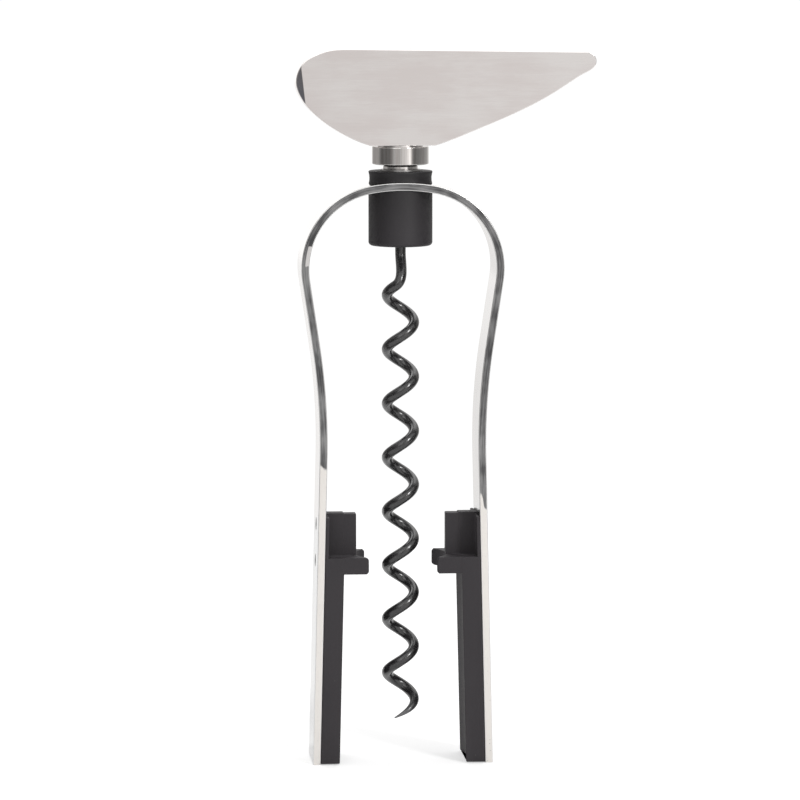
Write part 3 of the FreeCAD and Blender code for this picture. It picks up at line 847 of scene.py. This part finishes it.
def make_strip(finish):
    """Both halves of the strip, each running from the hub down to its own jaw."""
    for name, way, body in (("strip_left", -1, "left_jaw_body"), ("strip_right", 1, "right_jaw_body")):
        half = strip_half(name, way)
        bush = BUSH_DIAMETER / 2 + SCREW_HOLE_GAP
        rooms = [round_bar("bush room", bush, FRAME_HEIGHT - 5, FRAME_HEIGHT + 5, 64)]
        rooms += [screw_room(way, height) for height in SCREW_HEIGHTS]
        cut(half, *rooms)
        smooth_below(half, 30)
        half.data.materials.append(finish)
        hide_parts("spring_strip")
        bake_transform(half)


def make_screws(finish):
    """The four jaw screws, two to a leg."""
    for side, way in (("left", -1), ("right", 1)):
        pair = [jaw_screw(way, height) for height in SCREW_HEIGHTS]
        screws = join(side + "_screw_pair", pair)
        screws.data.materials.append(finish)
        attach(screws, side + "_jaw_body")
        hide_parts(side + "_jaw_screws")


# Worm

def helix_point(turn):
    """The worm's centreline by turning angle, and its direction, going up."""
    radius = (WORM_OUTER_DIAMETER - WIRE_DIAMETER) / 2
    angle = math.radians(turn)
    rise = WORM_PITCH / (2 * math.pi)
    height = WORM_FIRST_LEFT_HEIGHT + rise * (angle - math.pi)
    point = Vector((radius * math.cos(angle), radius * math.sin(angle), height))
    along = Vector((-radius * math.sin(angle), radius * math.cos(angle), rise))
    return point, along.normalized()


def bend_point(share):
    """The easing from the helix on to the axis, and its direction."""
    start, start_along = helix_point(WORM_BEND_START_ANGLE)
    end = Vector((0, 0, WORM_BEND_TOP))
    pull_start = start_along * (end.z - start.z)
    pull_end = Vector((0, 0, (end.z - start.z) * 1.2))
    s = share
    point = eased(start, end, pull_start, pull_end, s)
    along = (start * (6 * s**2 - 6 * s) + pull_start * (3 * s**2 - 4 * s + 1)
             + end * (6 * s - 6 * s**2) + pull_end * (3 * s**2 - 2 * s))
    return point, along.normalized()


def worm_stations():
    """Centre, direction and radius of every ring of the worm, from its tip up to its shank."""
    tip_turn = 180 - (WORM_FIRST_LEFT_HEIGHT - WORM_TIP_HEIGHT) / WORM_PITCH * 360
    taper_turn = tip_turn + 360 * WORM_TAPER_TURN
    count = math.ceil((WORM_BEND_START_ANGLE - tip_turn) / WORM_RING_ANGLE)
    stations = []
    for step in range(count):
        turn = tip_turn + (WORM_BEND_START_ANGLE - tip_turn) * step / count
        point, along = helix_point(turn)
        share = max(0.0, (taper_turn - turn) / (taper_turn - tip_turn))
        diameter = WIRE_DIAMETER + (WORM_TIP_DIAMETER - WIRE_DIAMETER) * share**1.6
        outward = Vector((point.x, point.y, 0)).normalized()
        point += outward * (WIRE_DIAMETER - diameter) * WORM_TIP_OUTSET
        stations.append((point, along, diameter / 2))
    for step in range(WORM_BEND_RINGS + 1):
        point, along = bend_point(step / WORM_BEND_RINGS)
        stations.append((point, along, WIRE_DIAMETER / 2))
    top = Vector((0, 0, WORM_SHANK_TOP))
    stations.append((top, Vector((0, 0, 1)), WIRE_DIAMETER / 2))
    return stations


def make_worm(finish):
    """The coated wire worm, with a rounded-off point."""
    bm = bmesh.new()
    across = None
    rings = []
    for point, along, radius in worm_stations():
        across = across or along.orthogonal()
        across = (across - along * across.dot(along)).normalized()
        other = along.cross(across)
        ring = []
        for side in range(WORM_SIDES):
            turn = 2 * math.pi * side / WORM_SIDES
            spot = point + (across * math.cos(turn) + other * math.sin(turn)) * radius
            ring.append(bm.verts.new(spot * MM))
        rings.append(ring)
    skin(bm, rings, closed_ends=True)
    worm = new_piece("coated_worm", bm)
    smooth_below(worm, 60)
    worm.data.materials.append(finish)
    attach(worm, "turning_unit")
    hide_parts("worm")


# Handle

def through(points, first, last, steps=10):
    """A smooth line through points in the XZ plane, with its two end directions."""
    directions = [Vector(first).normalized()]
    for before, point, after in zip(points, points[1:], points[2:]):
        come, leave = Vector(point) - Vector(before), Vector(after) - Vector(point)
        blend = come * (leave.length / come.length) + leave * (come.length / leave.length)
        directions.append(blend.normalized())
    directions.append(Vector(last).normalized())
    line = []
    for i in range(len(points) - 1):
        a, b = Vector(points[i]), Vector(points[i + 1])
        pull = (b - a).length
        for step in range(steps):
            line.append(eased(a, b, directions[i] * pull, directions[i + 1] * pull, step / steps))
    return line


def handle_outline():
    """The leaf from the front, anticlockwise from the left end of its seat, as (x, z) in mm."""
    seat = HANDLE_SEAT_WIDTH / 2
    wing = WING_REACH - seat
    rise = HANDLE_HEIGHT - WING_DROP
    back = NOSE_REACH - seat
    tip = (WING_REACH - WING_TIP_RADIUS, rise - WING_TIP_RADIUS)
    turn = math.radians(90 - WING_TIP_ARC_ANGLE)
    tip_low = (tip[0] + WING_TIP_RADIUS * math.cos(turn), tip[1] + WING_TIP_RADIUS * math.sin(turn))
    under = through(
        [(seat, 0), (seat + 0.274 * wing, 0.18 * rise), (seat + 0.70 * wing, 0.526 * rise),
         (seat + 0.90 * wing, 0.747 * rise), tip_low],
        (1, 0.29), (-math.sin(turn), math.cos(turn)))
    tip_arc = [Vector(p) for p in round_corner(*tip, WING_TIP_RADIUS, math.degrees(turn), 90, 12)]
    nose_top = (-seat - 0.23 * back, HANDLE_HEIGHT)
    nose = through(
        [nose_top, (-seat - 0.67 * back, HANDLE_HEIGHT - 1.0),
         (-seat - 0.914 * back, HANDLE_HEIGHT - 3.8), (-NOSE_REACH, NOSE_HEIGHT),
         (-seat - 0.883 * back, 0.642 * NOSE_HEIGHT), (-seat - 0.71 * back, 0.4375 * NOSE_HEIGHT),
         (-seat - 0.396 * back, 0.193 * NOSE_HEIGHT), (-seat, 0)],
        Vector(nose_top) - tip_arc[-1], (1, -0.33))
    points = under + tip_arc + nose + [Vector((-seat, 0))]
    return [(point.x, point.y + HANDLE_SEAT_LEVEL) for point in points]


def make_handle(finish):
    """The leaf-shaped handle, with soft edges and its nose faceted towards front and back."""
    outline = handle_outline()
    half = HANDLE_THICKNESS / 2
    levels = round_corner(HANDLE_EDGE_ROUND, half - HANDLE_EDGE_ROUND, HANDLE_EDGE_ROUND, 180, 90, 6)
    levels.append((HANDLE_EDGE_ROUND + 0.15, half))
    levels = [(inset, -depth) for inset, depth in reversed(levels)] + levels
    bm = bmesh.new()
    rings = []
    for inset, depth in levels:
        moved = inset_outline(outline, [inset] * len(outline))
        rings.append([bm.verts.new(metres(x, depth, z)) for x, z in moved])
    skin(bm, rings, closed_ends=True)
    facet = metres(-NOSE_FACET_START, 0, HANDLE_SEAT_LEVEL + NOSE_HEIGHT)
    away = Vector((-1, 0, -NOSE_FACET_LEAN)).normalized()
    for shift in (-0.12, -0.04, 0.04, 0.12, 0.5, 0.9):
        bmesh.ops.bisect_plane(bm, geom=bm.verts[:] + bm.edges[:] + bm.faces[:],
                               plane_co=facet + away * shift * MM, plane_no=away)
    slope = math.tan(math.radians(NOSE_FACET_ANGLE))
    for vertex in bm.verts:
        past = (vertex.co - facet).dot(away) / MM
        reach = 0.12
        if past < -reach:
            continue
        drop = slope * past if past > reach else slope * (past + reach) ** 2 / (4 * reach)
        vertex.co.y *= 1 - drop / half
    handle = new_piece("leaf_handle", bm)
    foot = HANDLE_SEAT_LEVEL - HANDLE_BOSS_HEIGHT
    unite(handle, round_bar("boss", HANDLE_BOSS_DIAMETER / 2, foot, HANDLE_SEAT_LEVEL + MERGE, 96))
    radius = SPINDLE_DIAMETER / 2 + SEAT_GAP
    cut(handle, round_bar("bore", radius, HANDLE_SEAT_LEVEL - 2, foot + HANDLE_BORE_DEPTH, 64))
    smooth_below(handle, 24)
    handle.data.materials.append(finish)
    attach(handle, "turning_unit")
    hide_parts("handle")


# Hub, collar and washers

def make_hub(finish):
    """The hub's cap, a little waisted, and its round body, both fitted to the strip."""
    radius = HUB_DIAMETER / 2
    bore = BUSH_DIAMETER / 2 + SEAT_GAP
    top = FRAME_HEIGHT + HUB_TOP_HEIGHT
    bottom = FRAME_HEIGHT - STRIP_THICKNESS - HUB_BODY_HEIGHT
    foot = FRAME_HEIGHT - STRIP_THICKNESS
    rim = HUB_RIM_ROUND
    low = FRAME_HEIGHT - HUB_WAIST_DROP
    waist = [(radius - HUB_WAIST_DEPTH * math.sin(math.pi * s / 8), low + (top - rim - low) * s / 8)
             for s in range(9)]
    cap = lathe("hub_cap", [(bore, foot), (radius, foot), *waist[:-1],
                            *round_corner(radius - rim, top - rim, rim, 0, 90), (bore, top)])
    cut(cap, strip_block("under strip", -SEAT_GAP, above=False))
    pocket = HUB_POCKET_DIAMETER / 2
    roof = bottom + HUB_POCKET_DEPTH
    round_foot = HUB_CORNER_ROUND
    body = lathe("hub_block", [(bore, roof), (pocket, roof), (pocket, bottom + rim), (pocket + rim, bottom),
                               *round_corner(radius - round_foot, bottom + round_foot, round_foot, 270, 360),
                               (radius, FRAME_HEIGHT), (bore, FRAME_HEIGHT)])
    cut(body, strip_block("over strip", STRIP_THICKNESS + SEAT_GAP, above=True))
    for piece, node in ((cap, "hub_top"), (body, "hub_body")):
        soften(piece, 0.12, 2, 35)
        smooth_below(piece, 35)
        piece.data.materials.append(finish)
        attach(piece, "root")
        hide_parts(node)


def make_ring(name, node, body, finish, outer, inner, bottom, top, rim):
    """A turned ring about the axis with small rounded rims, in place of a CAD node."""
    profile = [(inner, bottom + rim), (inner + rim, bottom),
               *round_corner(outer - rim, bottom + rim, rim, 270, 360),
               *round_corner(outer - rim, top - rim, rim, 0, 90),
               (inner + rim, top), (inner, top - rim)]
    ring = lathe(name, profile, 128)
    smooth_below(ring, 35)
    ring.data.materials.append(finish)
    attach(ring, body)
    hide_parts(node)


def make_rings(bright):
    """The collar and the thrust washer, at the heights of their CAD nodes."""
    low, high = (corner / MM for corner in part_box("collar"))
    make_ring("turned_collar", "collar", "turning_unit", bright,
              high.x, COLLAR_BORE / 2, low.z, high.z, 0.3)
    low, high = (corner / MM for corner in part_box("thrust_washer"))
    make_ring("neck_washer", "thrust_washer", "root", bright,
              high.x, SPINDLE_DIAMETER / 2 + 0.05, low.z, high.z, 0.12)


# Jaws

def slab(name, outline, low, high, low_rounds, high_rounds, leaning):
    """A moulded block between two heights, from its outline seen from above, anticlockwise.

    Its roundings at the bottom and at the top are one number each, or one for every point. A
    leaning block follows the leg, with its outline's x as the depth into the leg. No block passes
    the leg's face.
    """
    face = STRIP_THICKNESS + JAW_BACK_GAP
    bm = bmesh.new()
    rings = []
    quarter = [math.radians(90 * step / 5) for step in range(6)]
    levels = [(low, 1, low_rounds, turn) for turn in quarter]
    levels += [(high, -1, high_rounds, turn) for turn in reversed(quarter)]
    for start, way, rounds, turn in levels:
        ring = []
        if isinstance(rounds, float):
            rounds = [rounds] * len(outline)
        insets = [radius * (1 - math.sin(turn)) for radius in rounds]
        for (x, y), radius in zip(inset_outline(outline, insets), rounds):
            z = start + way * radius * (1 - math.cos(turn))
            x = leg_position(face + x, z) if leaning else min(x, leg_position(face, z))
            ring.append(bm.verts.new(metres(x, y, z)))
        rings.append(ring)
    skin(bm, rings, closed_ends=True)
    bmesh.ops.remove_doubles(bm, verts=bm.verts, dist=1e-7)
    return new_piece(name, bm)


def soft_rectangle(x0, x1, half, radius):
    """A rectangle about the X axis with four rounded corners, anticlockwise."""
    points = []
    for x, y, start in ((x1, half, 0), (x0, half, 90), (x0, -half, 180), (x1, -half, 270)):
        middle_x = x - radius if x == x1 else x + radius
        middle_y = y - radius if y > 0 else y + radius
        points += round_corner(middle_x, middle_y, radius, start, start + 90, 3)
    return points


def lip_outline():
    """The stop lip from above: two fingers round the cork's way, with soft tips."""
    half = STRIP_WIDTH / 2 - LIP_WITNESS
    passage = CORK_PASSAGE_DIAMETER / 2
    middle_y = half - FINGER_TIP_ROUND
    middle_x = math.sqrt((passage + FINGER_TIP_ROUND) ** 2 - middle_y**2)
    open_angle = math.degrees(math.atan2(middle_y, middle_x))
    upper = round_corner(middle_x, middle_y, FINGER_TIP_ROUND, 90, 180 + open_angle, 8)
    arc = round_corner(0, 0, passage, open_angle, -open_angle, 40)[1:-1]
    lower = [(x, -y) for x, y in reversed(upper)]
    outline = [(30, half), *upper, *arc, *lower, (30, -half)]
    rounds = [FINGER_ROUND if x < middle_x - 0.05 else JAW_EDGE_ROUND for x, y in outline]
    return outline, rounds


def liner_outline():
    """The liner from above: rounded corners and a shallow hollow in its inner face."""
    half = STRIP_WIDTH / 2
    bend = (half**2 + LINER_HOLLOW_DEPTH**2) / (2 * LINER_HOLLOW_DEPTH)
    corners = soft_rectangle(0, LINER_THICKNESS, half, JAW_EDGE_ROUND)
    points = []
    for x, y in corners:
        if x > LINER_THICKNESS / 2:
            x -= math.sqrt(bend**2 - y**2) - (bend - LINER_HOLLOW_DEPTH)
            x = min(x, LINER_THICKNESS)
        points.append((x, y))
    inside = []
    for step in range(1, 24):
        y = -half + JAW_EDGE_ROUND + (2 * half - 2 * JAW_EDGE_ROUND) * step / 24
        inside.append((LINER_THICKNESS - math.sqrt(bend**2 - y**2) + bend - LINER_HOLLOW_DEPTH, y))
    return points + inside


def right_jaw():
    """One moulding: liner, back plate, stop lip with two fingers, and the stepped rib."""
    outline = liner_outline()
    jaw = slab("liner", outline, LINER_FOOT_GAP, LIP_TOP_HEIGHT - 0.02,
               [FOOT_ROUND if x > 1 else 0.0 for x, y in outline], 0.0, True)
    outline = soft_rectangle(0, PLATE_THICKNESS, STRIP_WIDTH / 2, JAW_EDGE_ROUND)
    unite(jaw, slab("plate", outline, LIP_TOP_HEIGHT - MERGE, PLATE_TOP_HEIGHT,
                    0.0, JAW_EDGE_ROUND, True))
    outline, rounds = lip_outline()
    unite(jaw, slab("lip", outline, LIP_UNDERSIDE_HEIGHT, LIP_TOP_HEIGHT, rounds, rounds, False))
    step = RIB_REACH + RIB_STEP_LENGTH
    for start, end, half, top in ((step, 30, RIB_THICKNESS / 2, RIB_TOP_HEIGHT),
                                  (RIB_REACH, step + MERGE, RIB_THICKNESS / 2 - RIB_WITNESS,
                                   RIB_TOP_HEIGHT - RIB_STEP)):
        outline = soft_rectangle(start, end, half, 0.15)
        unite(jaw, slab("rib", outline, LIP_TOP_HEIGHT - MERGE, top, 0.0, 0.2, False))
    return jaw


def make_jaws(finish):
    """The two moulded jaws, mirror images of each other."""
    for side, way in (("left", -1), ("right", 1)):
        jaw = right_jaw()
        for height in SCREW_HEIGHTS:
            radius = SCREW_SHANK_DIAMETER / 2 + SEAT_GAP
            hole = round_bar("pilot", radius, -SCREW_LENGTH - SEAT_GAP, 1, 32)
            cut(jaw, along_leg_axis(hole, 1, height))
        jaw.data.transform(Matrix.Diagonal((way, 1, 1, 1)))
        if way < 0:
            jaw.data.flip_normals()
        jaw.name = side + "_moulded_jaw"
        smooth_below(jaw, 35)
        jaw.data.materials.append(finish)
        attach(jaw, side + "_jaw_body")
        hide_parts(side + "_jaw")


# Camera, floor and light

def bearing(azimuth, elevation):
    """The direction from the object towards a camera or lamp, by angles from the front."""
    a, e = math.radians(azimuth), math.radians(elevation)
    return Vector((math.sin(a) * math.cos(e), -math.cos(a) * math.cos(e), math.sin(e)))


def aimed(name, data, azimuth, elevation, distance):
    """A camera or lamp that faces the object from a distance in metres."""
    made = bpy.data.objects.new(name, data)
    back = bearing(azimuth, elevation)
    made.location = metres(*CAMERA_AIM) + back * distance
    made.rotation_euler = back.to_track_quat("Z", "Y").to_euler()
    bpy.context.scene.collection.objects.link(made)
    return made


def make_camera():
    """The photograph's view: a long lens, a little to the left and above."""
    data = bpy.data.cameras.new("view")
    data.lens = CAMERA_LENS
    data.sensor_width = 36.0
    data.clip_end = 20.0
    bpy.context.scene.camera = aimed("view", data, CAMERA_AZIMUTH, CAMERA_ELEVATION,
                                     CAMERA_DISTANCE * MM)


def make_lamp(name, azimuth, elevation, distance, width, height, power):
    """A soft box that faces the object. Angles are in degrees, lengths in metres, power in watts."""
    data = bpy.data.lights.new(name, "AREA")
    data.shape = "RECTANGLE"
    data.size = width
    data.size_y = height
    data.energy = power
    aimed(name, data, azimuth, elevation, distance)


def make_world():
    """A white background, even soft light, and a studio's bright and dim walls in the metal."""
    world = bpy.data.worlds.new("studio")
    bpy.context.scene.world = world
    world.use_nodes = True
    tree = world.node_tree
    tree.nodes.clear()
    out = tree.nodes.new("ShaderNodeOutputWorld")
    split = axes(tree, tree.nodes.new("ShaderNodeTexCoord").outputs["Generated"])
    turn = maths(tree, "ARCTAN2", split["X"], times(tree, split["Y"], -1.0))
    share = maths(tree, "MULTIPLY_ADD", turn, 1 / (2 * math.pi))
    share.node.inputs[2].default_value = 0.5
    walls = tree.nodes.new("ShaderNodeValToRGB")
    ramp = walls.color_ramp
    ramp.elements[0].position = 0.0
    ramp.elements[1].position = 1.0
    for azimuth, level in STUDIO_WALLS:
        at = azimuth / 360 + 0.5
        if at in (0.0, 1.0):
            stop = ramp.elements[0 if at == 0.0 else -1]
        else:
            stop = ramp.elements.new(at)
        stop.color = (*(level / STUDIO_BRIGHTEST * part for part in STUDIO_WARM), 1.0)
    plug(tree, walls.inputs[0], share)
    behind = times(tree, remap(tree, split["Y"], 0.6, 0.9), remap(tree, split["Z"], -0.02, -0.10))
    strength = remap(tree, behind, 0.0, 1.0, STUDIO_BRIGHTEST, STUDIO_BRIGHTEST * STUDIO_LOW_BACK)
    full = add(tree, "ShaderNodeVectorMath", operation="SCALE")
    plug(tree, full.inputs[0], walls.outputs[0])
    feed(tree, full, Scale=strength)
    upper = mix_colours(tree, remap(tree, split["Z"], 0.40, 0.75), full.outputs[0], (STUDIO_UPPER,) * 3)
    room = mix_colours(tree, remap(tree, split["Z"], 0.80, 0.94), upper, (STUDIO_CEILING,) * 3)
    off = maths(tree, "SUBTRACT", share, STUDIO_FLAG_AZIMUTH / 360 + 0.5)
    aside = maths(tree, "LESS_THAN", maths(tree, "ABSOLUTE", off), STUDIO_FLAG_HALF_WIDTH / 360)
    below = maths(tree, "LESS_THAN", split["Z"], -0.165)
    glossy = mix_colours(tree, times(tree, aside, below), room, STUDIO_FLAG)
    direct, mirrored = sight(tree)
    lit = mix_colours(tree, mirrored, (EVEN_LIGHT,) * 3, glossy)
    shown = mix_colours(tree, direct, lit, (BACKGROUND_WHITE,) * 3)
    light = add(tree, "ShaderNodeBackground", Color=shown)
    feed(tree, out, Surface=light.outputs[0])


def make_floor():
    """A plain pale floor that keeps the object's shadow and runs out to the white background."""
    bm = bmesh.new()
    bmesh.ops.create_circle(bm, cap_ends=True, radius=FLOOR_RADIUS * MM, segments=96)
    floor = new_piece("floor", bm)
    material, tree, shader = new_finish("pale_floor")
    where = place(tree)
    patches = effect(tree, "soft patches", where, Size_mm=300.0)
    direct, mirrored = sight(tree)
    in_metal = times(tree, mirrored, FLOOR_GLOW_IN_METAL)
    feed(tree, shader, Base_Color=mix_colours(tree, patches, (0.80,) * 3, (0.82,) * 3),
         Roughness=0.9, Specular_IOR_Level=0.0, Emission_Color=(1.0, 1.0, 1.0, 1.0),
         Emission_Strength=maths(tree, "ADD", times(tree, direct, FLOOR_GLOW), in_metal))
    floor.data.materials.append(material)


def make_stage():
    """Camera, floor, lamps and world."""
    make_camera()
    make_floor()
    make_world()
    for lamp in LAMPS:
        make_lamp(*lamp)
    bpy.context.scene.view_settings.view_transform = "Standard"


def dress(node, material):
    """Gives a carried-over CAD node its finish."""
    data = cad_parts[node].data
    data.materials.clear()
    data.materials.append(material)


def main():
    finishes = make_finishes()
    make_stage()
    make_strip(finishes["strip"])
    make_worm(finishes["worm"])
    make_handle(finishes["handle"])
    make_hub(finishes["hub"])
    make_jaws(finishes["jaw"])
    make_rings(finishes["bright"])
    make_screws(finishes["screw"])
    for node in ("flanged_bush", "bush_nut", "lower_washer", "retaining_ring", "worm_pin"):
        dress(node, finishes["machined"])
    dress("spindle", finishes["spindle"])


main()
